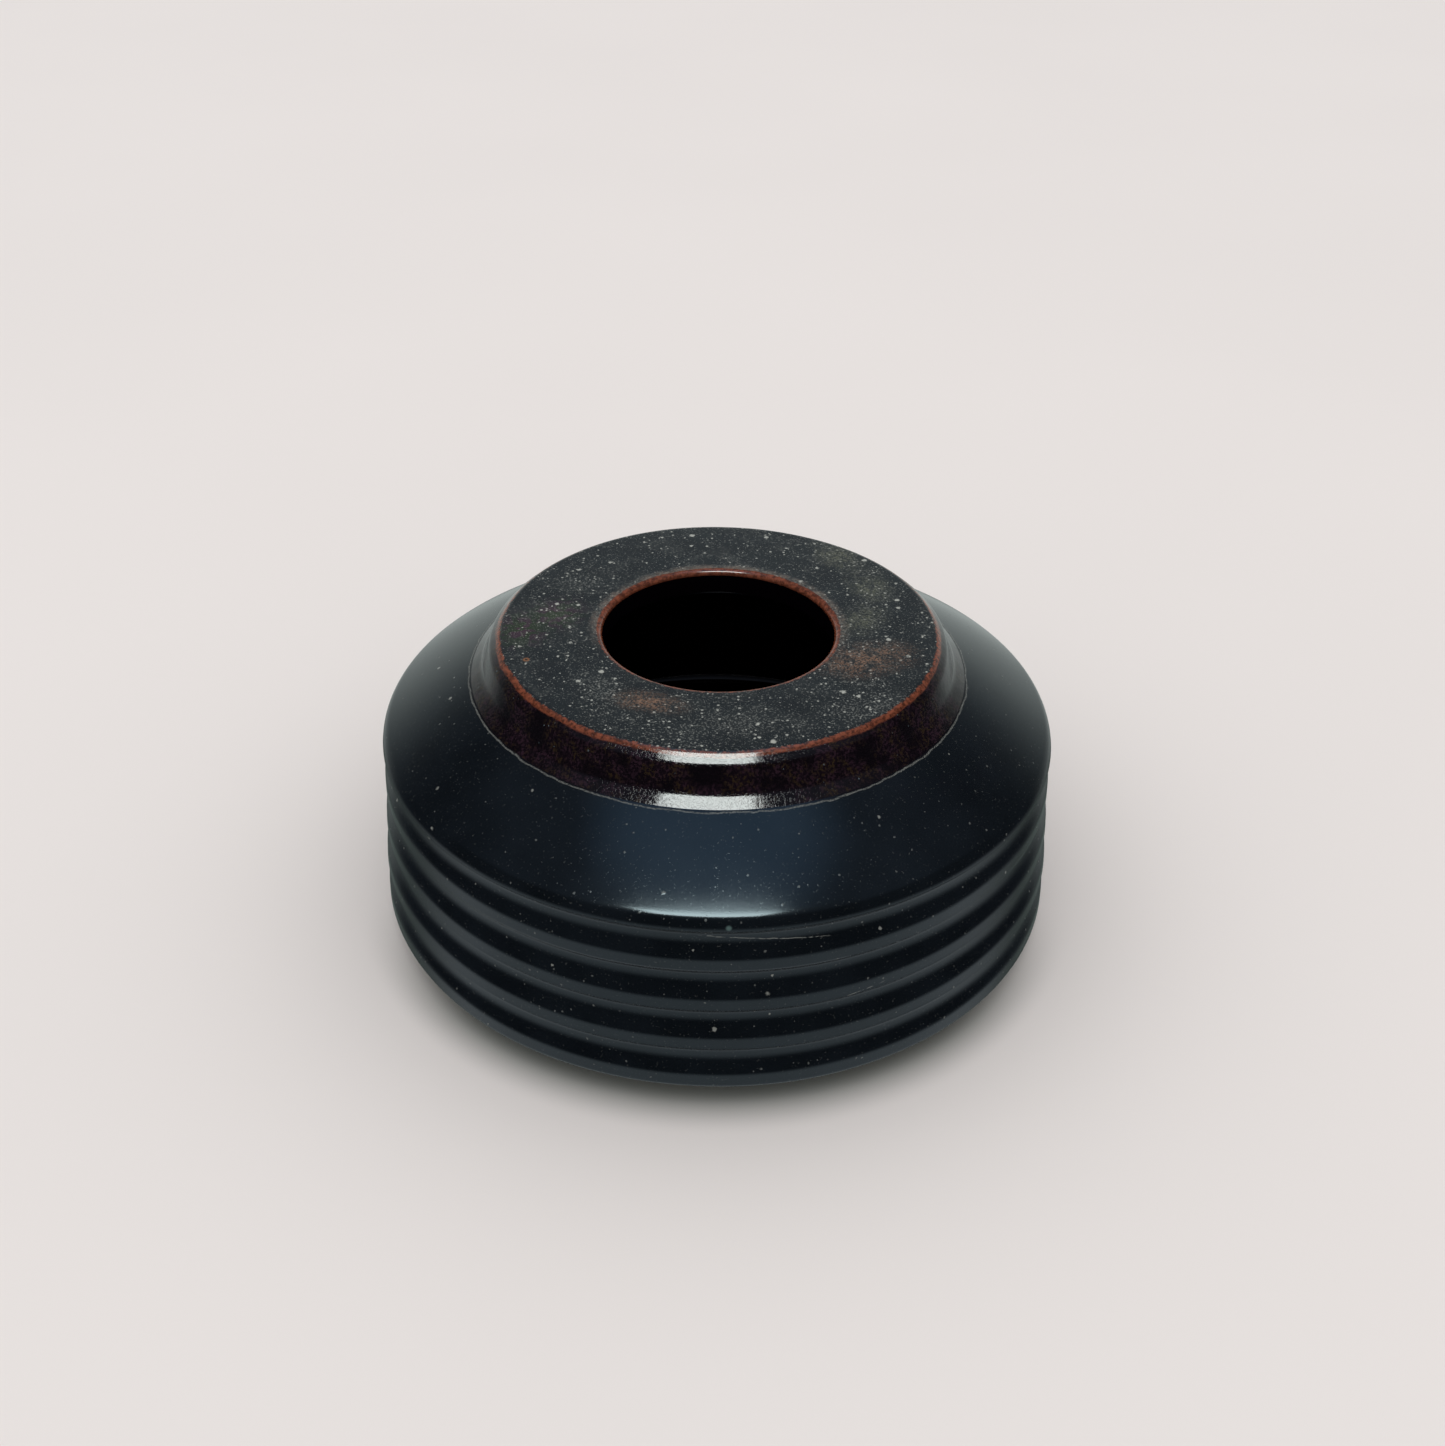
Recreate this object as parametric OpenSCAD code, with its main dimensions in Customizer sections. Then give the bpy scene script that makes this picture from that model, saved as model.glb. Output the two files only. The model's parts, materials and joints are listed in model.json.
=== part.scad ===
// Squat stoneware jar with a ribbed wall, a sloping shoulder and a flat rim round a small mouth.
// Every piece is a turned section or a coat of glaze about the Z axis. The jar stands on z = 0.

/* [Body] */
// Overall height, foot to flat rim
body_h = 63; // [52:0.2:80]
// Diameter at the edge of the shoulder, over the glaze
body_d = 140; // [126:1:170]
// Thickness of the thrown wall, glaze included outside
wall_t = 5.5; // [4:0.25:7]
// Thickness of the floor
floor_t = 5.5; // [4:0.25:8]
// Rounding where the inside wall meets the floor
floor_round = 7; // [4:0.5:10]
// Thickness of a coat of glaze
glaze_t = 0.5; // [0.3:0.1:0.8]

/* [Ribbed wall] */
// Number of coved bands
ribs = 4; // [2:1:6]
// Depth of each cove behind its lips
cove_depth = 1.2; // [0.5:0.05:1.5]
// How far the lowest lip stands out past the edge of the shoulder
wall_flare = 2; // [0:0.25:4]
// Height of the lowest lip above the table
heel_h = 5; // [4:0.25:7]
// How far the heel turns in under the lowest lip
heel_in = 6; // [3:0.5:9]

/* [Foot] */
// Outer diameter of the foot ring
foot_d = 114; // [90:1:120]
// Width of the foot ring
foot_w = 6; // [4:0.5:9]
// Height of the foot ring
foot_h = 2.5; // [1.5:0.25:3.5]
// Bevel along both lower edges of the foot ring
foot_bevel = 0.6; // [0.2:0.1:1]

/* [Shoulder] */
// Rise of the shoulder, from its edge up to the foot of the collar
shoulder_rise = 13; // [10:0.1:16]
// Radius of the rounded edge
edge_r = 3.6; // [2:0.1:5]
// Angle by which the shoulder steepens towards its edge
shoulder_bow = 4.5; // [0:0.5:8]

/* [Collar and rim] */
// Height of the collar, from its foot to the flat rim
collar_h = 8.8; // [8:0.1:12]
// Diameter of the collar under the bevel of the rim
collar_d = 93.8; // [80:0.2:100]
// How far the foot of the collar spreads past that
collar_spread = 4.1; // [3.8:0.1:6]
// Height of the bevel round the rim
rim_bevel_h = 2; // [1.8:0.1:2.4]
// Thickness of the flat rim, glaze included on top
rim_t = 6; // [5:0.25:8]

/* [Mouth] */
// Diameter of the mouth, over the glaze
mouth_d = 47.4; // [36:0.2:60]
// Radius of the mouth's upper edge
mouth_round = 1.3; // [1:0.1:2]
// Radius of the mouth's lower edge, inside
under_round = 1; // [0.5:0.1:1.5]

/* [Hidden] */
$fn = 160;

clay = "#6b4a35";
matte_glaze = "#23262f";
gloss_glaze = "#15100f";
rim_speckle = "#46453f";

// Steps along one band, one curve and one small rounding
rib_steps = 12;
curve_steps = 8;
round_steps = 6;

// A cove drops away under its upper lip, then flares out again to the lip below.
// These are fractions of a band, from the upper lip down.
cove_bottom = 0.19;
cove_flare_from = 0.22;
cove_flare_to = 0.76;
// How sharply a cove turns out at its lower end, 1 being even
cove_skew = 1.3;
// Height over which the heel's underside slopes
heel_slope_h = 1;
// How far the rim's bevel, the side of the collar and its foot face up, in degrees above level
bevel_lean = 48.5;
side_lean = 20;
foot_lean = 49;
level = 90;
// How much of each face a rounded corner takes up
bevel_ease = 0.7;
foot_ease = 0.9;

body_r = body_d / 2;
inner_r = body_r - wall_t;
collar_r = collar_d / 2;
collar_inner_r = collar_r - wall_t;
mouth_r = mouth_d / 2;
mouth_clay_r = mouth_r + glaze_t;

floor_z = foot_h + floor_t;
rim_under_z = body_h - rim_t;
collar_z = body_h - collar_h;
edge_z = collar_z - shoulder_rise;
band_h = (edge_z - heel_h) / ribs;

// Corners of the collar before they are eased, from the flat rim down to the shoulder
bevel_corner = [collar_r, body_h - rim_bevel_h];
rim_corner = meet([0, body_h], level, bevel_corner, bevel_lean);
collar_foot = [collar_r + collar_spread, collar_z];
flare_corner = meet(bevel_corner, side_lean, collar_foot, foot_lean);

// Centre of the shoulder's rounded edge
edge_centre = [body_r - edge_r, edge_z];

// Slope of the straight line under the shoulder, then the shoulder's own slope at its edge
chord_slope = slope_down(collar_foot, edge_centre + edge_r * [cos(60), sin(60)]);
edge_slope = chord_slope + shoulder_bow;

function slope_down(a, b) = atan2(a[1] - b[1], b[0] - a[0]);
// The way a face looks and the way down it, for a face that looks up by a degrees
function facing(a) = [cos(a), sin(a)];
function down(a) = [sin(a), -cos(a)];
function cross2(a, b) = a[0] * b[1] - a[1] * b[0];
// Where the face through p that looks up by a meets the face through q that looks up by b
function meet(p, a, q, b) = p + down(a) * cross2(q - p, down(b)) / cross2(down(a), down(b));
function reversed(list) = [for (i = [len(list) - 1 : -1 : 0]) list[i]];
function after_first(list) = [for (i = [1 : len(list) - 1]) list[i]];
function smooth(t) = t * t * (3 - 2 * t);
function span(t, from, to) = min(max((t - from) / (to - from), 0), 1);

function arc(centre, r, from, to, steps) = [
    for (i = [0 : steps])
        let (a = from + (to - from) * i / steps)
        centre + r * [cos(a), sin(a)]
];

function curve(a, b, c, steps) = [
    for (i = [0 : steps])
        let (t = i / steps)
        (1 - t) * (1 - t) * a + 2 * t * (1 - t) * b + t * t * c
];

// The outer stretches run from the rim down. Each is set in from the glazed face by o,
// so o = 0 gives the face of the glaze and o = glaze_t the clay under it.

// Radius of lip k, from the shoulder's edge down
function lip_r(k) = body_r + wall_flare * smooth(k / ribs);

// How deep a cove is at a fraction t of its band, from 0 at a lip to 1
function cove(t) = t < cove_bottom
    ? sin(90 * t / cove_bottom)
    : 1 - smooth(pow(span(t, cove_flare_from, cove_flare_to), cove_skew));

function band(k, o) = [
    for (i = [0 : rib_steps - 1])
        let (t = i / rib_steps)
        let (r = lip_r(k) + (lip_r(k + 1) - lip_r(k)) * t)
        [r - cove_depth * cove(t) - o, edge_z - band_h * (k + t)]
];

// The heel, from the lowest lip in to the underside of the floor
function heel(o) = curve(
    [lip_r(ribs) - o, heel_h],
    [lip_r(ribs) - o, foot_h + heel_slope_h],
    [lip_r(ribs) - heel_in - o, foot_h],
    curve_steps
);

function wall_face(o) = concat([for (k = [0 : ribs - 1]) each band(k, o)], heel(o));

function edge_end(o) = edge_centre + (edge_r - o) * [sin(edge_slope), cos(edge_slope)];
function bow_point() =
    let (half = norm(edge_end(0) - collar_foot) / 2)
    edge_end(0) + half * [-cos(edge_slope), sin(edge_slope)];

top_slope = slope_down(collar_foot, bow_point());

function collar_foot_at(o) = collar_foot - o * [sin(top_slope), cos(top_slope)];

function shoulder_face(o) = concat(
    curve(
        collar_foot_at(o),
        bow_point() - o * [sin(chord_slope), cos(chord_slope)],
        edge_end(o),
        curve_steps
    ),
    after_first(arc(edge_centre, edge_r - o, 90 - edge_slope, 0, round_steps))
);

// An eased corner at p, from a face that looks up by a to one that looks up by b
function eased(p, a, b, ease, o) = curve(
    p - ease * down(a) - o * facing(a),
    p - o * (facing(a) + facing(b)) / (1 + facing(a) * facing(b)),
    p + ease * down(b) - o * facing(b),
    round_steps
);

function rim_edge(o) = eased(rim_corner, level, bevel_lean, bevel_ease, o);
function collar_side(o) = concat(
    eased(bevel_corner, bevel_lean, side_lean, bevel_ease, o),
    eased(flare_corner, side_lean, foot_lean, foot_ease, o),
    [collar_foot_at(o)]
);
function collar_face(o) = concat([rim_edge(o)[round_steps]], collar_side(o));

// The flat rim, from its outer edge in to the throat of the mouth
function rim_face(o) = concat(
    reversed(rim_edge(o)),
    arc([mouth_r + mouth_round, body_h - mouth_round], mouth_round - o, 90, 180, round_steps)
);

// The inner stretches run from the floor up. Here o = 0 is the bare clay
// and o = glaze_t is the face of the liner glaze.

function floor_curve(o) = arc(
    [inner_r - floor_round, floor_z + floor_round],
    floor_round - o,
    -90,
    0,
    curve_steps
);

// Height of the underside of the shoulder at radius r
function under_shoulder(r, o) =
    collar_z - (r - collar_foot[0]) * tan(chord_slope) - (wall_t + o) / cos(chord_slope);
function wall_top(o) = [inner_r - o, under_shoulder(inner_r - o, o)];
function neck_foot(o) = [collar_inner_r - o, under_shoulder(collar_inner_r - o, o)];
function neck_top(o) = [collar_inner_r - o, rim_under_z - o];
function throat_edge(o) = arc(
    [mouth_clay_r + under_round, rim_under_z + under_round],
    under_round + o,
    270,
    180,
    round_steps
);

function inside_face(o) = concat(
    [[0, floor_z + o]],
    floor_curve(o),
    [wall_top(o), neck_foot(o), neck_top(o)],
    throat_edge(o),
    [[mouth_clay_r - o, body_h - mouth_round]]
);

module turned(points) {
    rotate_extrude()
        polygon(points);
}

// A coat lies between the face of the glaze and the clay under it
module coat(face, under) {
    turned(concat(face, reversed(under)));
}

module foot_ring() {
    outer = foot_d / 2;
    inner = outer - foot_w;
    color(clay)
        turned([
            [inner, foot_h],
            [inner, foot_bevel],
            [inner + foot_bevel, 0],
            [outer - foot_bevel, 0],
            [outer, foot_bevel],
            [outer, foot_h]
        ]);
}

module base_disc() {
    color(clay)
        translate([0, 0, foot_h])
            cylinder(h = floor_t, r = inner_r);
}

module ribbed_wall() {
    color(clay)
        turned(concat(
            wall_face(glaze_t),
            [[inner_r, foot_h], [inner_r, floor_z]],
            floor_curve(0),
            [wall_top(0)]
        ));
}

module shoulder_cone() {
    color(clay)
        turned(concat(shoulder_face(glaze_t), [wall_top(0), neck_foot(0)]));
}

module collar() {
    color(clay)
        turned(concat(collar_side(glaze_t), [neck_foot(0), neck_top(0)]));
}

module rim_flange() {
    color(clay)
        turned(concat(
            [collar_side(glaze_t)[0]],
            rim_face(glaze_t),
            reversed(throat_edge(0)),
            [neck_top(0)]
        ));
}

module liner_glaze() {
    color(gloss_glaze)
        coat(inside_face(glaze_t), inside_face(0));
}

module wall_glaze() {
    color(matte_glaze)
        coat(wall_face(0), wall_face(glaze_t));
}

module shoulder_glaze() {
    color(matte_glaze)
        coat(shoulder_face(0), shoulder_face(glaze_t));
}

module collar_glaze() {
    color(gloss_glaze)
        coat(collar_face(0), collar_face(glaze_t));
}

module rim_glaze() {
    color(rim_speckle)
        coat(rim_face(0), rim_face(glaze_t));
}

foot_ring();
base_disc();
ribbed_wall();
shoulder_cone();
collar();
rim_flange();
liner_glaze();
wall_glaze();
shoulder_glaze();
collar_glaze();
rim_glaze();
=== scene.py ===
"""A squat stoneware jar: turned coats of glaze over clay, on a pale studio floor."""

import json
import math

import bpy
from bpy.props import FloatProperty, FloatVectorProperty, IntProperty, PointerProperty
from mathutils import Matrix, Vector


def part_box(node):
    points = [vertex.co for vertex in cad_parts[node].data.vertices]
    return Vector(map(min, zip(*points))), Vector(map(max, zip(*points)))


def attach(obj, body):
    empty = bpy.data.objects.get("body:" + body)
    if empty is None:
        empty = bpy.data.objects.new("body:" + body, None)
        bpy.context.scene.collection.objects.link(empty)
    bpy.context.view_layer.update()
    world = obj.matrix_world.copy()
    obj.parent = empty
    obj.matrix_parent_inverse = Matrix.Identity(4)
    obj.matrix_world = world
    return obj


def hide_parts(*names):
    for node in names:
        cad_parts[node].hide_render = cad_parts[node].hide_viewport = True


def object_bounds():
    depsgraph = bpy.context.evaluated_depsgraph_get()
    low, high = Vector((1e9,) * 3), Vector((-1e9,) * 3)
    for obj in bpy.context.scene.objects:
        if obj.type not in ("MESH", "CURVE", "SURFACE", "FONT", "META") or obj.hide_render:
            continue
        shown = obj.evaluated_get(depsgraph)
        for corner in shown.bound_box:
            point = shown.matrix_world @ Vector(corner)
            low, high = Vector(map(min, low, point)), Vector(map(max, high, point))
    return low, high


bl_info = {
    "name": "Ribbed stoneware jar",
    "version": (1, 0, 0),
    "blender": (4, 5, 0),
    "location": "3D View > Sidebar > Jar",
    "description": "Turns the glazed coats of a squat jar and lights it on a table",
    "category": "Add Mesh",
}

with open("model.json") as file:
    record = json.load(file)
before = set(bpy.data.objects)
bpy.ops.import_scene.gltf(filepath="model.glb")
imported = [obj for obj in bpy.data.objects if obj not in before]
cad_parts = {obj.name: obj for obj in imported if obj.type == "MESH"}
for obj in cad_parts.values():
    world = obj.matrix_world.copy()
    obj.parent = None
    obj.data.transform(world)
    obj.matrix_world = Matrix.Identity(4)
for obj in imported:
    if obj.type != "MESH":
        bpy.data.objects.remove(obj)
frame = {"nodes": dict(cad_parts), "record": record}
CAD_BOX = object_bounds()

MM = 0.001
ROOT = "root"

# How far each face of the collar looks up, in degrees: flat rim, bevel, side and foot
LEVEL = 90.0
BEVEL_LEAN = 48.5
SIDE_LEAN = 20.0
FOOT_LEAN = 49.0

# How much the shoulder steepens towards its edge, and how far up its rounded edge looks
# where the straight line under it ends, in degrees
SHOULDER_BOW = 4.5
CHORD_END = 60.0

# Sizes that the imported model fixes
TOP_Z = CAD_BOX[1].z
EDGE_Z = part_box("wall_glaze")[1].z
COLLAR_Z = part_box("shoulder_glaze")[1].z
FOOT_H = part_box("wall_glaze")[0].z
BODY_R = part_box("shoulder_glaze")[1].x
LIP_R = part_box("wall_glaze")[1].x
INNER_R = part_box("base_disc")[1].x
FLOOR_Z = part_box("base_disc")[1].z
GLAZE = TOP_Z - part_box("rim_flange")[1].z
COLLAR_FOOT = Vector((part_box("collar_glaze")[1].x, COLLAR_Z))
RIM_UNDER_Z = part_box("rim_flange")[0].z
MOUTH = next(mount for mount in frame["record"]["mounts"] if mount["name"] == "mouth")
MOUTH_R = MOUTH["dims"]["r_mm"] * MM

CLAY_NODES = ("foot_ring", "base_disc", "ribbed_wall", "shoulder_cone", "collar", "rim_flange")
SATIN = "Satin blue-black glaze"
CLAY = "Bare stoneware"

# Marks in the glaze: a large greenish speck and two hairline scratches on the wall, each scratch
# from (x, z) to (x, z), and a pinhole in the rim
LARGE_SPECK = Vector((2.7, -70.4, 42.2)) * MM
UPPER_SCRATCH = (-5 * MM, 39.6 * MM), (23 * MM, 37.0 * MM)
LOWER_SCRATCH = (20 * MM, 22.6 * MM), (33 * MM, 24.2 * MM)
PINHOLE = (-38 * MM, -13.7 * MM, TOP_Z)

# Patches on the flat rim, as x, y, reach, squash across, and heading in degrees
OLIVE_BLOOMS = ((26, 31, 11, 1.6, 120), (32, 18, 11, 1.7, 100), (30, 4, 10, 1.7, 65))
TAN_BLOOMS = ((30, -12, 14, 1.7, 22), (-13, -28.5, 10, 2.0, 165))
PLUM_BLOOMS = ((-40, -2, 11, 1.3, 80), (-34, 4, 10, 1.2, 60))
FROST_BLOOMS = (
    (-30, 17, 12, 1.5, 40),
    (2, -36, 26, 2.2, 0),
    (30, -27, 15, 1.6, 40),
    (-22, -25, 12, 1.8, -45),
)

OUTWARDS = Vector((1, 0, 0))
UPWARDS = Vector((0, 0, 1))


# ---------------------------------------------------------------------------
# Settings
# ---------------------------------------------------------------------------


def length(name, about, default):
    return FloatProperty(name=name, description=about, default=default, min=0.0, unit="LENGTH")


def turning(name, about, degrees):
    return FloatProperty(
        name=name, description=about, default=math.radians(degrees), unit="ROTATION"
    )


def power(name, about, default):
    return FloatProperty(name=name, description=about, default=default, min=0.0, unit="POWER")


def colour(name, about, default):
    return FloatVectorProperty(
        name=name, description=about, default=default, size=3, min=0.0, max=1.0, subtype="COLOR"
    )


class JarShape(bpy.types.PropertyGroup):
    """Sizes of the jar that the coats of glaze are turned to."""

    ribs: IntProperty(name="Bands", description="Number of coved bands", default=4, min=1)
    cove_depth: length("Cove depth", "How far a cove lies behind its lips", 1.2 * MM)
    heel_h: length("Heel height", "Height of the lowest lip above the table", 5.0 * MM)
    heel_in: length("Heel turn", "How far the heel turns in under the lowest lip", 6.0 * MM)
    heel_slope: length("Heel slope", "Height over which the heel's underside slopes", 1.0 * MM)
    edge_r: length("Shoulder edge", "Radius of the shoulder's rounded edge", 3.6 * MM)
    collar_r: length("Collar radius", "Radius of the collar under the rim's bevel", 46.9 * MM)
    bevel_h: length("Bevel height", "Height of the bevel round the rim", 2.0 * MM)
    bevel_ease: length("Bevel ease", "How far the bevel's corners are eased", 0.7 * MM)
    foot_ease: length("Foot ease", "How far the corner over the collar's foot is eased", 0.9 * MM)
    mouth_round: length("Mouth edge", "Radius of the mouth's upper edge", 1.3 * MM)
    under_round: length("Throat edge", "Radius of the mouth's lower edge", 1.0 * MM)
    floor_round: length("Floor curve", "Rounding where the wall meets the floor", 7.0 * MM)
    neck_r: length("Neck radius", "Inner radius of the collar", 41.4 * MM)
    coat: length("Coat", "Thickness of the modelled coats of glaze", 0.42 * MM)
    wander: length("Wander", "How far a thrown surface wanders from true", 0.22 * MM)
    steps: IntProperty(name="Steps", description="Steps round the axis", default=256, min=48)


class JarColours(bpy.types.PropertyGroup):
    """Colours of the clay and the glazes."""

    clay: colour("Clay", "Fired bare stoneware", (0.16, 0.09, 0.055))
    satin: colour("Satin glaze", "Blue-black of the wall and shoulder", (0.0032, 0.0045, 0.0062))
    tenmoku: colour("Gloss glaze", "Brown-black glaze of the collar", (0.0022, 0.0010, 0.0018))
    rim: colour("Rim glaze", "Grey-black glaze of the flat rim", (0.0075, 0.0108, 0.0120))
    rust: colour("Rust break", "Glaze worn thin over an edge", (0.150, 0.043, 0.022))
    speck: colour("Specks", "Pale crystals in the glaze", (0.42, 0.43, 0.39))
    green_speck: colour("Green speck", "The large speck on the wall", (0.20, 0.32, 0.30))
    blue_fleck: colour("Blue flecks", "Bright flecks in the gloss glaze", (0.22, 0.30, 0.34))
    brown_fleck: colour("Brown flecks", "Dull flecks in the gloss glaze", (0.020, 0.012, 0.005))
    tan: colour("Tan bloom", "Warm patches on the rim", (0.200, 0.105, 0.060))
    olive: colour("Olive bloom", "Greenish patches on the rim", (0.120, 0.125, 0.080))
    plum: colour("Plum bloom", "Reddish patches in the dark glaze", (0.030, 0.013, 0.022))
    moss: colour("Moss bloom", "Green streaks in the reddish patches", (0.018, 0.030, 0.010))
    halo: colour("Halo", "Frosted glaze round the mouth", (0.20, 0.15, 0.115))
    pinhole: colour("Pinhole", "Bottom of the pinhole in the rim", (0.002, 0.002, 0.002))
    pinhole_ring: colour("Pinhole ring", "Ring of thin glaze round it", (0.20, 0.085, 0.035))
    liner: colour("Liner glaze", "Black glaze inside", (0.0007, 0.0005, 0.0012))
    floor: colour("Floor", "Pale table", (0.80, 0.755, 0.735))
    shade: colour("Shade", "Deep shade on the table under the heel", (0.02, 0.05, 0.035))


class StudioSetup(bpy.types.PropertyGroup):
    """Camera and lights."""

    distance: length("Distance", "Camera distance from the shoulder's centre", 0.3604)
    pitch: turning("Pitch", "Angle the camera looks down", 33.85)
    roll: turning("Roll", "Turn of the camera about its view", -0.76)
    lens: FloatProperty(
        name="Lens", description="Focal length, on a 36 mm sensor", default=42.32, unit="CAMERA"
    )
    across: length("Across", "Camera's place to the right of the jar's axis", 1.07 * MM)
    down: length("Down", "Camera's place below its line to the shoulder's centre", 1.69 * MM)
    window: power("Window", "Power of the window overhead, which only the glaze mirrors", 23.0)
    lamp: power("Lamp", "Power of the lamp at the left, which the glaze doesn't mirror", 1.2)


# ---------------------------------------------------------------------------
# Profiles: lists of (radius, height), from the rim down and from the floor up
# ---------------------------------------------------------------------------


def polar(angle):
    return Vector((math.cos(angle), math.sin(angle)))


def arc(centre, radius, start, end, steps):
    return [
        centre + radius * polar(math.radians(start + (end - start) * i / steps))
        for i in range(steps + 1)
    ]


def curve(a, b, c, steps):
    return [
        (1 - t) ** 2 * a + 2 * t * (1 - t) * b + t * t * c
        for t in (i / steps for i in range(steps + 1))
    ]


def smooth(t):
    return t * t * (3 - 2 * t)


def span(t, start, end):
    return min(max((t - start) / (end - start), 0.0), 1.0)


def slope_down(a, b):
    return math.atan2(a.y - b.y, b.x - a.x)


def cove(t):
    """Depth of a cove, 0 to 1, at a fraction t of its band from the upper lip down."""
    bottom, flare_start, flare_end, skew = 0.19, 0.22, 0.76, 1.3
    if t < bottom:
        return math.sin(math.pi / 2 * t / bottom)
    return 1 - smooth(span(t, flare_start, flare_end) ** skew)


def wall_profile(shape):
    band_h = (EDGE_Z - shape.heel_h) / shape.ribs
    steps = 26
    points = []
    for rib in range(shape.ribs):
        for i in range(steps):
            t = i / steps
            upper = BODY_R + (LIP_R - BODY_R) * smooth(rib / shape.ribs)
            lower = BODY_R + (LIP_R - BODY_R) * smooth((rib + 1) / shape.ribs)
            radius = upper + (lower - upper) * t - shape.cove_depth * cove(t)
            points.append(Vector((radius, EDGE_Z - band_h * (rib + t))))
    return points + curve(
        Vector((LIP_R, shape.heel_h)),
        Vector((LIP_R, FOOT_H + shape.heel_slope)),
        Vector((LIP_R - shape.heel_in, FOOT_H)),
        14,
    )


def edge_centre(shape):
    """Centre of the shoulder's rounded edge."""
    return Vector((BODY_R - shape.edge_r, EDGE_Z))


def chord_slope(shape):
    """Slope of the straight line under the shoulder, which its inside follows."""
    return slope_down(COLLAR_FOOT, edge_centre(shape) + shape.edge_r * polar(math.radians(CHORD_END)))


def shoulder_profile(shape):
    slope = chord_slope(shape) + math.radians(SHOULDER_BOW)
    end = edge_centre(shape) + shape.edge_r * polar(math.pi / 2 - slope)
    half = (end - COLLAR_FOOT).length / 2
    bow = end + half * Vector((-math.cos(slope), math.sin(slope)))
    edge = arc(edge_centre(shape), shape.edge_r, 90 - math.degrees(slope), 0, 16)
    return curve(COLLAR_FOOT, bow, end, 30) + edge[1:]


def down(lean):
    """The way down a face that looks up by lean."""
    return Vector((math.sin(math.radians(lean)), -math.cos(math.radians(lean))))


def meet(p, lean_p, q, lean_q):
    """Where the face through p meets the face through q."""
    along = (q - p).cross(down(lean_q)) / down(lean_p).cross(down(lean_q))
    return p + down(lean_p) * along


def eased(corner, lean_over, lean_under, ease, steps):
    return curve(corner - ease * down(lean_over), corner, corner + ease * down(lean_under), steps)


def collar_corners(shape):
    """The corners of the collar before they are eased: rim, bevel and flare."""
    bevel = Vector((shape.collar_r, TOP_Z - shape.bevel_h))
    rim = meet(Vector((0, TOP_Z)), LEVEL, bevel, BEVEL_LEAN)
    return rim, bevel, meet(bevel, SIDE_LEAN, COLLAR_FOOT, FOOT_LEAN)


def between(a, b, steps):
    """Points strictly between two, evenly."""
    return [a.lerp(b, i / steps) for i in range(1, steps)]


def rim_edge(shape):
    return eased(collar_corners(shape)[0], LEVEL, BEVEL_LEAN, shape.bevel_ease, 12)


def collar_profile(shape):
    _, bevel, flare = collar_corners(shape)
    start = rim_edge(shape)[-1]
    over = eased(bevel, BEVEL_LEAN, SIDE_LEAN, shape.bevel_ease, 12)
    under = eased(flare, SIDE_LEAN, FOOT_LEAN, shape.foot_ease, 12)
    bevel_face = [start] + between(start, over[0], 6)
    side = over + between(over[-1], under[0], 8)
    flare_face = under + between(under[-1], COLLAR_FOOT, 8) + [COLLAR_FOOT]
    return bevel_face + side + flare_face


def rim_profile(shape):
    mouth = Vector((MOUTH_R + shape.mouth_round, TOP_Z - shape.mouth_round))
    edge = rim_edge(shape)[::-1]
    lip = arc(mouth, shape.mouth_round, 90, 180, 12)
    return edge + between(edge[-1], lip[0], 14) + lip


def liner_profile(shape):
    """The glazed inside, from the middle of the floor up to the throat."""
    chord = chord_slope(shape)
    wall_t = BODY_R - INNER_R

    def under_shoulder(radius):
        drop = (radius - COLLAR_FOOT.x) * math.tan(chord) + (wall_t + GLAZE) / math.cos(chord)
        return Vector((radius, COLLAR_Z - drop))

    throat = Vector((MOUTH_R + GLAZE + shape.under_round, RIM_UNDER_Z + shape.under_round))
    curve_centre = Vector((INNER_R - shape.floor_round, FLOOR_Z + shape.floor_round))
    floor = [Vector((curve_centre.x * i / 8, FLOOR_Z + GLAZE)) for i in range(8)]
    wall = arc(curve_centre, shape.floor_round - GLAZE, -90, 0, 14)
    return (
        floor
        + wall
        + [under_shoulder(INNER_R - GLAZE), under_shoulder(shape.neck_r - GLAZE)]
        + [Vector((shape.neck_r - GLAZE, RIM_UNDER_Z - GLAZE))]
        + arc(throat, shape.under_round + GLAZE, 270, 180, 10)
        + [Vector((MOUTH_R, TOP_Z - shape.mouth_round))]
    )


# ---------------------------------------------------------------------------
# Modelling
# ---------------------------------------------------------------------------


def deselect_all():
    if bpy.context.object and bpy.context.object.mode != "OBJECT":
        bpy.ops.object.mode_set(mode="OBJECT")
    bpy.ops.object.select_all(action="DESELECT")


def apply(piece, kind, **values):
    modifier = piece.modifiers.new(kind.title(), kind)
    for key, value in values.items():
        setattr(modifier, key, value)
    bpy.context.view_layer.objects.active = piece
    bpy.ops.object.modifier_apply(modifier=modifier.name)


def draw_profile(name, profile):
    """Leaves a new object in edit mode, with its profile drawn in the XZ plane and selected."""
    deselect_all()
    start = Vector((profile[0].x, 0, profile[0].y))
    bpy.ops.mesh.primitive_circle_add(vertices=3, radius=MM, location=(0, 0, 0))
    piece = bpy.context.object
    piece.name = piece.data.name = name
    bpy.ops.object.mode_set(mode="EDIT")
    bpy.ops.mesh.select_all(action="SELECT")
    bpy.ops.mesh.merge(type="CENTER")
    bpy.ops.transform.translate(value=start)
    for a, b in zip(profile, profile[1:]):
        bpy.ops.mesh.extrude_region_move(
            TRANSFORM_OT_translate={"value": (b.x - a.x, 0, b.y - a.y)}
        )
    bpy.ops.mesh.select_all(action="SELECT")
    return piece


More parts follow.
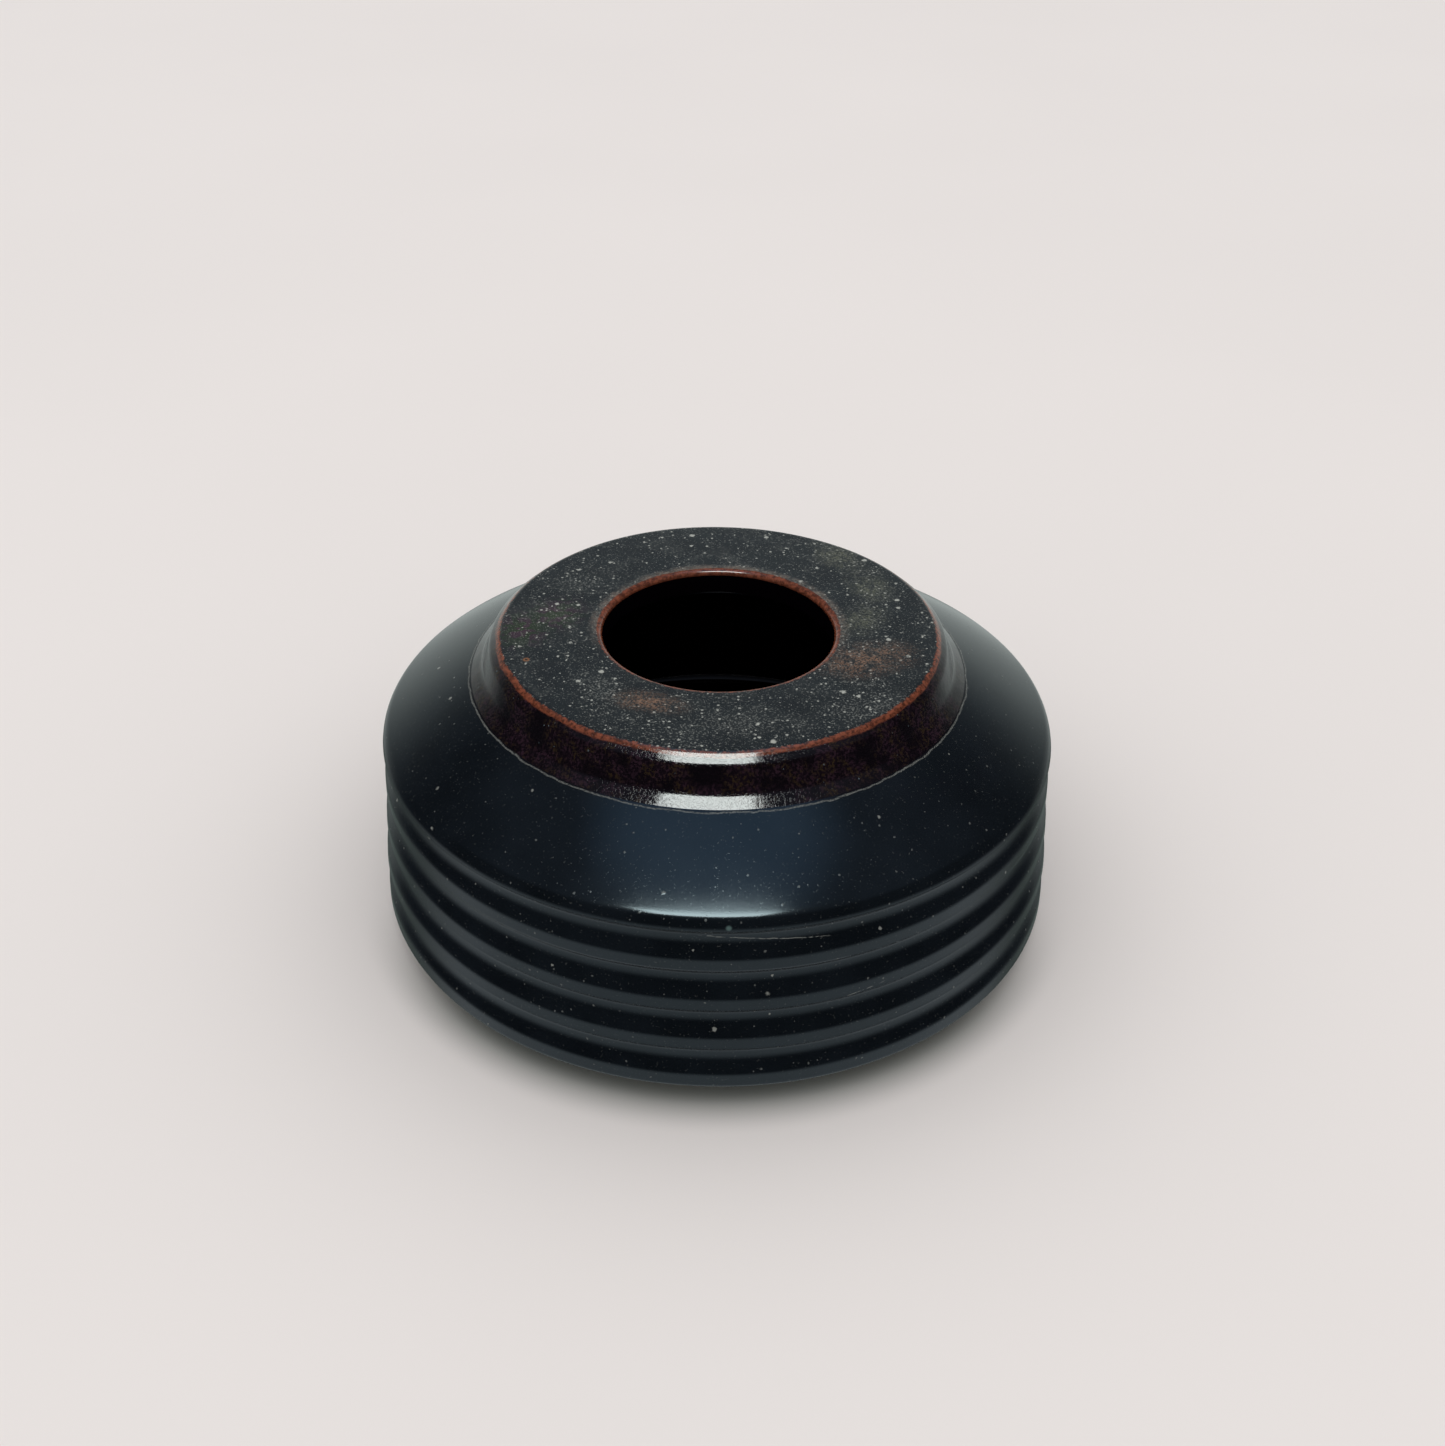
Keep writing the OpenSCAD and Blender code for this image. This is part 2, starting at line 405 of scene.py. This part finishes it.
def turn(name, profile, steps, outwards):
    """Spins a profile about the axis. outwards is the side of the first face that shows."""
    piece = draw_profile(name, profile)
    bpy.ops.mesh.spin(steps=steps, angle=2 * math.pi, center=(0, 0, 0), axis=(0, 0, 1))
    bpy.ops.mesh.select_all(action="SELECT")
    bpy.ops.mesh.remove_doubles(threshold=0.01 * MM)
    bpy.ops.mesh.normals_make_consistent(inside=False)
    bpy.ops.object.mode_set(mode="OBJECT")
    face = max(piece.data.polygons, key=lambda p: p.center.z if outwards.z else p.center.xy.length)
    radial = Vector((face.center.x, face.center.y, 0)).normalized()
    shown = radial * outwards.x + Vector((0, 0, outwards.z))
    if face.normal.dot(shown) < 0:
        bpy.ops.object.mode_set(mode="EDIT")
        bpy.ops.mesh.flip_normals()
        bpy.ops.object.mode_set(mode="OBJECT")
    return piece


def coat(piece, shape):
    """Lets a turned face wander a little, as thrown clay does, and gives it its thickness inwards."""
    texture = bpy.data.textures.new("Thrown " + piece.name, "CLOUDS")
    texture.noise_scale = 38 * MM
    texture.noise_depth = 1
    apply(
        piece,
        "DISPLACE",
        texture=texture,
        texture_coords="LOCAL",
        strength=shape.wander,
        mid_level=1.0,
    )
    apply(piece, "SOLIDIFY", thickness=shape.coat, offset=-1.0, use_even_offset=False)
    deselect_all()
    piece.select_set(True)
    bpy.context.view_layer.objects.active = piece
    bpy.ops.object.shade_smooth_by_angle(angle=math.radians(50))
    return piece


def place(piece, material, slot, *nodes):
    piece.data.materials.clear()
    piece.data.materials.append(material)
    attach(piece, ROOT)
    if nodes:
        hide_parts(*nodes)


# ---------------------------------------------------------------------------
# Materials
# ---------------------------------------------------------------------------


class Level:
    """A number or colour that varies over a surface. Arithmetic on a number adds Math nodes."""

    def __init__(self, wiring, socket):
        self.wiring = wiring
        self.socket = socket

    def math(self, operation, *others, first=None):
        values = [self, *others] if first is None else [first, self]
        return self.wiring.node("ShaderNodeMath", {"operation": operation}, dict(enumerate(values)))

    def __add__(self, other):
        return self.math("ADD", other)

    def __mul__(self, other):
        return self.math("MULTIPLY", other)

    def __sub__(self, other):
        return self.math("SUBTRACT", other)

    def __rsub__(self, other):
        return self.math("SUBTRACT", first=other)

    def __truediv__(self, other):
        return self.math("DIVIDE", other)

    def __pow__(self, other):
        return self.math("POWER", other)

    __radd__ = __add__
    __rmul__ = __mul__

    def least(self, other):
        return self.math("MINIMUM", other)

    def most(self, other):
        return self.math("MAXIMUM", other)

    def size(self):
        return self.math("ABSOLUTE")


class Wiring:
    """A node tree built up as expressions, over one set of coordinates."""

    def __init__(self, tree, coordinates):
        self.tree = tree
        self.place = self.node("ShaderNodeTexCoord", output=coordinates)
        self.x, self.y, self.z = (self.part(self.place, axis) for axis in range(3))

    def feed(self, socket, value):
        if isinstance(value, Level):
            self.tree.links.new(value.socket, socket)
        else:
            socket.default_value = value

    def node(self, kind, settings=None, inputs=None, output=0):
        node = self.tree.nodes.new(kind)
        for key, value in (settings or {}).items():
            setattr(node, key, value)
        for key, value in (inputs or {}).items():
            self.feed(node.inputs[key], value)
        return Level(self, node.outputs[output])

    def part(self, vector, axis):
        return self.node("ShaderNodeSeparateXYZ", {}, {0: vector}, axis)

    def ramp(self, value, start, end):
        """0 at start, 1 at end, smooth between."""
        return self.node(
            "ShaderNodeMapRange",
            {"interpolation_type": "SMOOTHSTEP"},
            {"Value": value, "From Min": start, "From Max": end},
        )

    def mix(self, factor, a, b):
        """Colour a where factor is 0, b where it is 1."""
        a, b = (tone if isinstance(tone, Level) else (*tone, 1.0) for tone in (a, b))
        return self.node("ShaderNodeMix", {"data_type": "RGBA"}, {0: factor, 6: a, 7: b}, 2)


class Finish(Wiring):
    """One material, with the marks and patterns that the glazes and the clay are made of."""

    def __init__(self, name):
        self.material = bpy.data.materials.new(name)
        self.material.use_nodes = True
        self.shader = self.material.node_tree.nodes["Principled BSDF"]
        super().__init__(self.material.node_tree, "Object")

    def radius(self):
        return (self.x * self.x + self.y * self.y) ** 0.5

    def near(self, x, y, reach, squash, angle):
        """1 at a place on the rim, falling to 0 at reach. squash and angle make it a streak."""
        along = (self.x - x) * math.cos(angle) + (self.y - y) * math.sin(angle)
        across = ((self.y - y) * math.cos(angle) - (self.x - x) * math.sin(angle)) * squash
        return self.ramp((along * along + across * across) ** 0.5, reach, 0.0)

    def blooms(self, patches):
        """Patches on the rim, all in one."""
        total = None
        for x, y, reach, squash, heading in patches:
            one = self.near(x * MM, y * MM, reach * MM, squash, math.radians(heading))
            total = one if total is None else total.most(one)
        return total

    def noise(self, size, detail=2.0, roughness=0.5, output=0):
        inputs = {"Vector": self.place, "Scale": 1.0 / size, "Detail": detail, "Roughness": roughness}
        return self.node("ShaderNodeTexNoise", {}, inputs, output)

    def vector_math(self, operation, inputs, output=0):
        return self.node("ShaderNodeVectorMath", {"operation": operation}, inputs, output)

    def shaken(self, size, amount):
        """The place, moved about by noise, so that what is drawn there is ragged."""
        noise = self.noise(size, 1.0, output="Color")
        centred = self.vector_math("SUBTRACT", {0: noise, 1: (0.5, 0.5, 0.5)})
        moved = self.vector_math("SCALE", {0: centred, "Scale": amount})
        return self.vector_math("ADD", {0: self.place, 1: moved})

    def specks(self, pitch, radius, share, place):
        """Scattered specks of up to this radius, in a share of the cells of this pitch."""
        where = {"Vector": place, "Scale": 1.0 / pitch}
        distance = self.node("ShaderNodeTexVoronoi", {}, where, "Distance")
        chances = self.node("ShaderNodeTexVoronoi", {}, where, "Color")
        chance, size = self.part(chances, 0), self.part(chances, 1)
        edge = radius / pitch
        disc = self.ramp(distance / (0.35 + size * 0.65), edge, 0.55 * edge)
        return disc * chance.math("LESS_THAN", share)

    def mottle(self, size, level):
        """Fine irregular flecks of about this size. They thin out as level goes up from 0.5."""
        return self.ramp(self.noise(size, 2.0, 0.6) - level, 0.0, 0.05)

    def spot(self, place, radius):
        """One round spot about a point, soft at its edge."""
        away = self.vector_math("DISTANCE", {0: self.place, 1: place}, "Value")
        return self.ramp(away, radius, 0.6 * radius)

    def scratch(self, start, end, drop, width):
        """A hairline at the front of the jar, from (x, z) to (x, z), sagging by drop between them."""
        along = (self.x - start[0]) / (end[0] - start[0])
        line = start[1] + along * (end[1] - start[1]) - along * (1 - along) * (4 * drop)
        wobble = (self.noise(1.6 * MM, 1.0) - 0.5) * (0.35 * MM)
        thin = self.ramp((self.z - line + wobble).size(), width, 0.3 * width)
        ends = self.ramp(along, 0.0, 0.15) * self.ramp(along, 1.0, 0.8)
        front = self.y.math("LESS_THAN", 0.0)
        return thin * ends * front * self.ramp(self.noise(0.9 * MM, 1.0), 0.35, 0.55)

    def blend(self, factor, a, b):
        return a + factor * (b - a)

    def bump(self, height, distance, strength):
        inputs = {"Height": height, "Distance": distance, "Strength": strength}
        return self.node("ShaderNodeBump", {}, inputs)

    def done(self, **sockets):
        """The finished material, with each of the shader's sockets fed by its own name."""
        for key, value in sockets.items():
            name = key.replace("_", " ").title().replace("Ior", "IOR")
            self.feed(self.shader.inputs[name], value)
        return self.material


def shades(colour, darker, lighter):
    """Two shades of a colour."""
    return Vector(colour) * darker, Vector(colour) * lighter


def satin_glaze(colours):
    """The blue-black coat of the wall and shoulder, with a pale wavy edge where it meets the collar."""
    f = Finish(SATIN)
    cloud = f.noise(14 * MM, 3.0, 0.6)
    grain = f.noise(0.22 * MM, 2.0, 0.7)
    dust = f.mottle(0.45 * MM, 0.66)
    crumbs = f.specks(1.5 * MM, 0.33 * MM, 0.25, f.shaken(0.5 * MM, 0.3 * MM))
    few = f.specks(5.0 * MM, 0.62 * MM, 0.30, f.shaken(0.6 * MM, 0.45 * MM))
    base = f.mix(f.ramp(cloud, 0.3, 0.7), *shades(colours.satin, 0.75, 1.25))
    base = f.mix(dust * 0.07, base, colours.speck)
    base = f.mix(crumbs * 0.16, base, colours.speck)
    base = f.mix(few * 0.40, base, colours.speck)
    base = f.mix(f.spot(LARGE_SPECK, 1.0 * MM) * 0.35, base, colours.green_speck)
    lines = f.scratch(*UPPER_SCRATCH, -0.2 * MM, 0.12 * MM)
    lines = lines.most(f.scratch(*LOWER_SCRATCH, 0.1 * MM, 0.10 * MM))
    base = f.mix(lines * 0.30, base, colours.speck)

    wave = (f.noise(2.4 * MM, 2.0) - 0.5) * (0.7 * MM) + (f.noise(9 * MM, 1.0) - 0.5) * (0.7 * MM)
    brim = f.radius() + wave - (COLLAR_FOOT.x + 0.3 * MM)
    gloss = f.ramp(brim, 0.15 * MM, -0.05 * MM)
    lace = f.ramp((brim - 0.1 * MM).size(), 0.22 * MM, 0.06 * MM) * f.ramp(grain, 0.35, 0.60)
    base = f.mix(gloss, base, colours.tenmoku)
    base = f.mix(lace * 0.35, base, colours.speck)
    rough = 0.140 + (cloud - 0.5) * 0.05 + (grain - 0.5) * 0.10 + crumbs * 0.2
    height = grain * 0.35 + dust * 0.5 + crumbs + few * 2.0 + lines - gloss * 4.0
    return f.done(
        base_color=base,
        roughness=f.blend(gloss, rough, 0.06),
        normal=f.bump(height, 0.010 * MM, 0.8),
        ior=1.46,
        specular_tint=(0.78, 0.93, 1.0, 1.0),
    )


def gloss_glaze(colours, shape):
    """The brown-black gloss of the collar, full of dark flecks, under the rust of the bevel."""
    f = Finish("Brown-black gloss glaze")
    cloud = f.noise(5 * MM, 3.0, 0.6)
    flecks = f.mottle(0.55 * MM, 0.50)
    sparks = f.specks(1.1 * MM, 0.24 * MM, 0.35, f.shaken(0.3 * MM, 0.2 * MM))
    hue = f.noise(2.6 * MM, 2.0, 0.6)
    warm = f.mix(f.ramp(hue, 0.42, 0.60), Vector(colours.plum) * 0.6, colours.brown_fleck)
    base = f.mix(f.ramp(cloud, 0.35, 0.7), *shades(colours.tenmoku, 1.0, 2.5))
    base = f.mix(flecks * f.ramp(cloud, 0.35, 0.6), base, warm)
    base = f.mix(sparks * f.ramp(hue, 0.5, 0.65) * 0.35, base, colours.blue_fleck)

    ragged = f.noise(0.8 * MM, 3.0, 0.65)
    creep = (ragged - 0.5) * (0.7 * MM) + (f.noise(8 * MM) - 0.5) * (1.0 * MM)
    rust_end = rim_edge(shape)[-1].x + 0.40 * MM
    rust = f.ramp(f.radius() + creep, rust_end + 0.15 * MM, rust_end - 0.15 * MM)
    reds = f.mix(f.ramp(ragged, 0.35, 0.65), *shades(colours.rust, 0.35, 1.2))
    height = f.noise(0.6 * MM, 3.0, 0.7) + flecks * 0.4 + f.noise(3 * MM, 1.0) * 3.0
    return f.done(
        base_color=f.mix(rust, base, reds),
        roughness=0.05 + flecks * 0.05,
        normal=f.bump(height, 0.018 * MM, 0.8),
        ior=1.52,
    )


def rim_glaze(colours, shape):
    """The speckled coat of the flat rim, breaking to rust over both edges."""
    f = Finish("Speckled rim glaze")
    ragged = f.noise(0.8 * MM, 3.0, 0.65)
    slow = f.noise(8 * MM, 2.0, 0.5)
    cloud = f.noise(9 * MM, 3.0, 0.6)
    streaks = f.noise(2.2 * MM, 3.0, 0.6)
    olive, tan, plum, frost = map(f.blooms, (OLIVE_BLOOMS, TAN_BLOOMS, PLUM_BLOOMS, FROST_BLOOMS))

    inner_break = MOUTH_R + shape.mouth_round
    halo_edge = f.radius() + (ragged - 0.5) * (1.5 * MM)
    halo = f.ramp(halo_edge, inner_break + 2.2 * MM, inner_break + 0.2 * MM)
    halo = halo * f.ramp(f.y, -14 * MM, 6 * MM)
    broken = f.ramp(streaks, 0.30, 0.62)
    frosting = f.ramp(cloud, 0.36, 0.66) * 0.6 + frost * 0.55 + (olive + tan) * 0.8 + halo
    frosting = frosting.least(1.0)
    dust = f.mottle(0.42 * MM, 0.625 - frosting * 0.09)
    grain = f.mottle(0.24 * MM, 0.58 - frosting * 0.08)
    grit = f.mottle(0.50 * MM, 0.47)
    crumbs = f.specks(1.0 * MM, 0.38 * MM, 0.14 + frosting * 0.50, f.shaken(0.4 * MM, 0.35 * MM))
    few = f.specks(3.4 * MM, 0.85 * MM, 0.35, f.shaken(0.5 * MM, 0.8 * MM))

    base = f.mix(f.ramp(slow, 0.3, 0.7), *shades(colours.rim, 0.85, 1.15))
    mixed_plum = f.mix(f.ramp(streaks, 0.45, 0.55), Vector(colours.plum) * 1.3, colours.moss)
    base = f.mix(plum, base, mixed_plum)
    base = f.mix(olive * broken * (0.10 + grit * 0.60), base, colours.olive)
    base = f.mix(tan * broken * (0.10 + grit * 0.85), base, colours.tan)
    tint = f.mix(tan * 0.75, f.mix(olive * 0.6, colours.speck, colours.olive), colours.tan)
    base = f.mix(grain * 0.03, base, tint)
    base = f.mix(dust * 0.24, base, tint)
    base = f.mix(crumbs * 0.75, base, tint)
    base = f.mix(few * 0.85, base, colours.speck)
    base = f.mix(halo * broken * (0.25 + grit * 0.45), base, colours.halo)

    outer_break = rim_edge(shape)[0].x
    wobble = (ragged - 0.5) * (0.9 * MM) + (slow - 0.5) * (0.8 * MM)
    outer = f.ramp(f.radius() + wobble, outer_break + 0.45 * MM, outer_break + 0.85 * MM)
    inner = f.ramp(f.radius() - wobble * 0.6, inner_break + 0.2 * MM, inner_break - 0.25 * MM)
    rust = outer.most(inner)
    reds = f.mix(f.ramp(ragged, 0.35, 0.65), *shades(colours.rust, 0.40, 1.35))
    down_the_mouth = f.ramp(f.z, TOP_Z - 0.5 * MM, TOP_Z - 1.5 * MM) * inner
    reds = f.mix(down_the_mouth, reds, Vector(colours.rust) * 0.35)
    base = f.mix(rust, base, reds)
    base = f.mix(f.spot(PINHOLE, 0.85 * MM), base, colours.pinhole_ring)
    base = f.mix(f.spot(PINHOLE, 0.38 * MM), base, colours.pinhole)
    rough = 0.24 + (ragged - 0.5) * 0.08 + frosting * 0.10
    height = (dust * 0.5 + crumbs + few * 1.5 + frosting * streaks) * (1 - rust) + ragged * 0.4
    return f.done(
        base_color=base,
        roughness=f.blend(rust, rough, 0.14),
        normal=f.bump(height, 0.016 * MM, 0.8),
        ior=1.5,
    )


def black_liner(colours):
    """The plain black gloss inside."""
    f = Finish("Black liner glaze")
    pool = f.noise(14 * MM, 2.0, 0.5)
    return f.done(
        base_color=f.mix(pool, colours.liner, Vector(colours.tenmoku) * 0.6),
        roughness=0.05 + pool * 0.04,
        normal=f.bump(f.noise(5 * MM, 1.0, 0.4), 0.01 * MM, 0.5),
        ior=1.5,
    )


def bare_clay(colours):
    """Dark stoneware with turning lines and grit."""
    f = Finish(CLAY)
    grit = f.noise(0.5 * MM, 4.0, 0.7)
    blotch = f.noise(12 * MM, 3.0, 0.6)
    rings = f.node(
        "ShaderNodeTexWave",
        {"wave_type": "RINGS", "rings_direction": "Z", "wave_profile": "SIN"},
        {"Vector": f.place, "Scale": 0.22 / MM, "Distortion": 1.2, "Detail": 1.0},
    )
    base = f.mix(f.ramp(blotch, 0.3, 0.7), *shades(colours.clay, 0.75, 1.2))
    base = f.mix(f.ramp(grit, 0.55, 0.8) * 0.5, base, Vector(colours.clay) * 1.9)
    return f.done(
        base_color=base,
        roughness=0.82 + (grit - 0.5) * 0.12,
        normal=f.bump(rings * 0.5 + grit, 0.05 * MM, 0.7),
    )


# ---------------------------------------------------------------------------
# Operators
# ---------------------------------------------------------------------------


def settings(context):
    scene = context.scene
    return scene.jar_shape, scene.jar_colours, scene.jar_studio


def shared(name, make, *args):
    """The material of this name, made the first time it is asked for."""
    return bpy.data.materials.get(name) or make(*args)


class JAR_OT_wall_coat(bpy.types.Operator):
    """Turn the satin coat of the ribbed wall and heel"""

    bl_idname = "jar.wall_coat"
    bl_label = "Wall coat"

    def execute(self, context):
        shape, colours, _ = settings(context)
        piece = coat(turn("ribbed_wall_coat", wall_profile(shape), shape.steps, OUTWARDS), shape)
        place(piece, shared(SATIN, satin_glaze, colours), "matte_glaze", "wall_glaze")
        return {"FINISHED"}


class JAR_OT_shoulder_coat(bpy.types.Operator):
    """Turn the satin coat of the shoulder"""

    bl_idname = "jar.shoulder_coat"
    bl_label = "Shoulder coat"

    def execute(self, context):
        shape, colours, _ = settings(context)
        piece = coat(turn("shoulder_coat", shoulder_profile(shape), shape.steps, OUTWARDS), shape)
        place(piece, shared(SATIN, satin_glaze, colours), "matte_glaze", "shoulder_glaze")
        return {"FINISHED"}


class JAR_OT_collar_coat(bpy.types.Operator):
    """Turn the gloss coat of the collar"""

    bl_idname = "jar.collar_coat"
    bl_label = "Collar coat"

    def execute(self, context):
        shape, colours, _ = settings(context)
        piece = coat(turn("collar_coat", collar_profile(shape), shape.steps, OUTWARDS), shape)
        place(piece, gloss_glaze(colours, shape), "black_gloss_glaze", "collar_glaze")
        return {"FINISHED"}


class JAR_OT_rim_coat(bpy.types.Operator):
    """Turn the speckled coat of the flat rim and the mouth's edge"""

    bl_idname = "jar.rim_coat"
    bl_label = "Rim coat"

    def execute(self, context):
        shape, colours, _ = settings(context)
        piece = coat(turn("rim_coat", rim_profile(shape), shape.steps, UPWARDS), shape)
        place(piece, rim_glaze(colours, shape), "speckled_glaze", "rim_glaze")
        return {"FINISHED"}


class JAR_OT_liner_coat(bpy.types.Operator):
    """Turn the black gloss coat of the inside"""

    bl_idname = "jar.liner_coat"
    bl_label = "Liner coat"

    def execute(self, context):
        shape, colours, _ = settings(context)
        piece = coat(turn("liner_coat", liner_profile(shape), shape.steps, -OUTWARDS), shape)
        place(piece, black_liner(colours), "black_gloss_glaze", "liner_glaze")
        return {"FINISHED"}


class JAR_OT_clay(bpy.types.Operator):
    """Give the clay under the glaze its fired finish"""

    bl_idname = "jar.clay"
    bl_label = "Clay"

    def execute(self, context):
        clay = shared(CLAY, bare_clay, settings(context)[1])
        for name in CLAY_NODES:
            for slot in frame["nodes"][name].material_slots:
                slot.material = clay
        return {"FINISHED"}


class JAR_OT_stage(bpy.types.Operator):
    """Set up the floor, the light and the camera"""

    bl_idname = "jar.stage"
    bl_label = "Stage"

    def execute(self, context):
        _, colours, studio = settings(context)
        make_floor(colours)
        make_world(context)
        make_lights(studio)
        make_camera(context, studio)
        context.scene.view_settings.view_transform = "Standard"
        return {"FINISHED"}


def make_floor(colours):
    """A pale table, with the deep shade that lies under the heel in front."""
    deselect_all()
    bpy.ops.mesh.primitive_plane_add(size=12.0, location=(0, 0, 0))
    floor = bpy.context.object
    floor.name = "floor"
    f = Finish("Pale table")
    base = f.mix(f.ramp(f.noise(0.25, 2.0, 0.5), 0.3, 0.7), *shades(colours.floor, 0.985, 1.0))
    shade = f.ramp(f.radius(), LIP_R + 8 * MM, LIP_R - 4 * MM) * f.ramp(f.y, -10 * MM, -55 * MM)
    base = f.mix(shade * 0.75, base, colours.shade)
    floor.data.materials.append(f.done(base_color=base, roughness=0.8, specular_ior_level=0.2))
    floor.visible_glossy = False


def make_world(context):
    """Even white light on rough surfaces. A glossy one sees a white sweep behind, a dark room in front
    and a pale table below, which stands for the floor there."""
    world = bpy.data.worlds.new("Studio")
    context.scene.world = world
    world.use_nodes = True
    w = Wiring(world.node_tree, "Generated")
    back, up = w.y, w.z
    even, room, haze = (1.0, 1.0, 1.0), (0.024, 0.028, 0.036), (0.11, 0.13, 0.17)
    sweep, ceiling = (0.62, 0.68, 0.66), (0.45, 0.67, 0.98)
    table, far_table = (0.60, 0.65, 0.68), (0.14, 0.17, 0.16)
    under = w.mix(w.ramp(back, -0.1, 0.5), table, far_table)
    ahead = w.mix(w.ramp(up, -0.18, -0.60), w.mix(w.ramp(up, 0.55, 0.8), room, haze), under)
    behind = w.mix(w.ramp(up, 0.62, 0.05), haze, sweep)
    behind = w.mix(w.ramp(up, -0.30, -0.50), behind, far_table)
    glossy = w.mix(w.ramp(back, 0.35, 0.95), ahead, behind)
    glossy = w.mix(w.ramp(up, 0.88, 0.985), glossy, ceiling)
    is_glossy = w.node("ShaderNodeLightPath", output="Is Glossy Ray")
    background = world.node_tree.nodes["Background"]
    w.feed(background.inputs["Color"], w.mix(is_glossy, even, glossy))


def area_light(name, where, aim, size, watts):
    deselect_all()
    bpy.ops.object.light_add(type="AREA", location=where)
    lamp = bpy.context.object
    lamp.name = name
    lamp.rotation_euler = (aim - where).to_track_quat("-Z", "Y").to_euler()
    lamp.data.shape = "RECTANGLE"
    lamp.data.size, lamp.data.size_y = size
    lamp.data.energy = watts
    lamp.visible_camera = False
    return lamp


def make_lights(studio):
    overhead, left = Vector((-0.06, -0.83, 1.5)), Vector((-1.4, -0.2, 1.6))
    below, jar = Vector((overhead.x, overhead.y, 0)), Vector((0, 0, TOP_Z))
    window = area_light("window_overhead", overhead, below, (0.86, 0.54), studio.window)
    window.data.color = (0.93, 1.0, 0.97)
    window.visible_diffuse = False
    lamp = area_light("lamp_left", left, jar, (1.2, 1.2), studio.lamp)
    lamp.visible_glossy = False


def make_camera(context, studio):
    deselect_all()
    pitch = studio.pitch
    ahead = Vector((0, math.cos(pitch), -math.sin(pitch)))
    up = Vector((0, math.sin(pitch), math.cos(pitch)))
    right = Vector((1, 0, 0))
    target = Vector((0, 0, EDGE_Z))
    where = target - ahead * studio.distance + right * studio.across - up * studio.down
    bpy.ops.object.camera_add(location=where)
    camera = bpy.context.object
    camera.name = "camera"
    turned_right = right * math.cos(studio.roll) - up * math.sin(studio.roll)
    turned_up = right * math.sin(studio.roll) + up * math.cos(studio.roll)
    camera.matrix_world = Matrix.Translation(where) @ Matrix(
        (turned_right, turned_up, -ahead)
    ).transposed().to_4x4()
    camera.data.lens = studio.lens
    camera.data.sensor_width = 36.0
    camera.data.clip_start = 0.01
    context.scene.camera = camera


OPERATORS = (
    JAR_OT_stage,
    JAR_OT_clay,
    JAR_OT_wall_coat,
    JAR_OT_shoulder_coat,
    JAR_OT_collar_coat,
    JAR_OT_rim_coat,
    JAR_OT_liner_coat,
)


class JAR_PT_panel(bpy.types.Panel):
    """Lists the jar's operators"""

    bl_idname = "JAR_PT_panel"
    bl_label = "Stoneware jar"
    bl_space_type = "VIEW_3D"
    bl_region_type = "UI"
    bl_category = "Jar"

    def draw(self, context):
        for operator in OPERATORS:
            self.layout.operator(operator.bl_idname)


CLASSES = (JarShape, JarColours, StudioSetup, *OPERATORS, JAR_PT_panel)


def register():
    for cls in CLASSES:
        bpy.utils.register_class(cls)
    bpy.types.Scene.jar_shape = PointerProperty(type=JarShape)
    bpy.types.Scene.jar_colours = PointerProperty(type=JarColours)
    bpy.types.Scene.jar_studio = PointerProperty(type=StudioSetup)


def unregister():
    del bpy.types.Scene.jar_studio
    del bpy.types.Scene.jar_colours
    del bpy.types.Scene.jar_shape
    for cls in reversed(CLASSES):
        bpy.utils.unregister_class(cls)


def main():
    register()
    for operator in OPERATORS:
        group, name = operator.bl_idname.split(".")
        getattr(getattr(bpy.ops, group), name)()


if __name__ == "__main__":
    main()
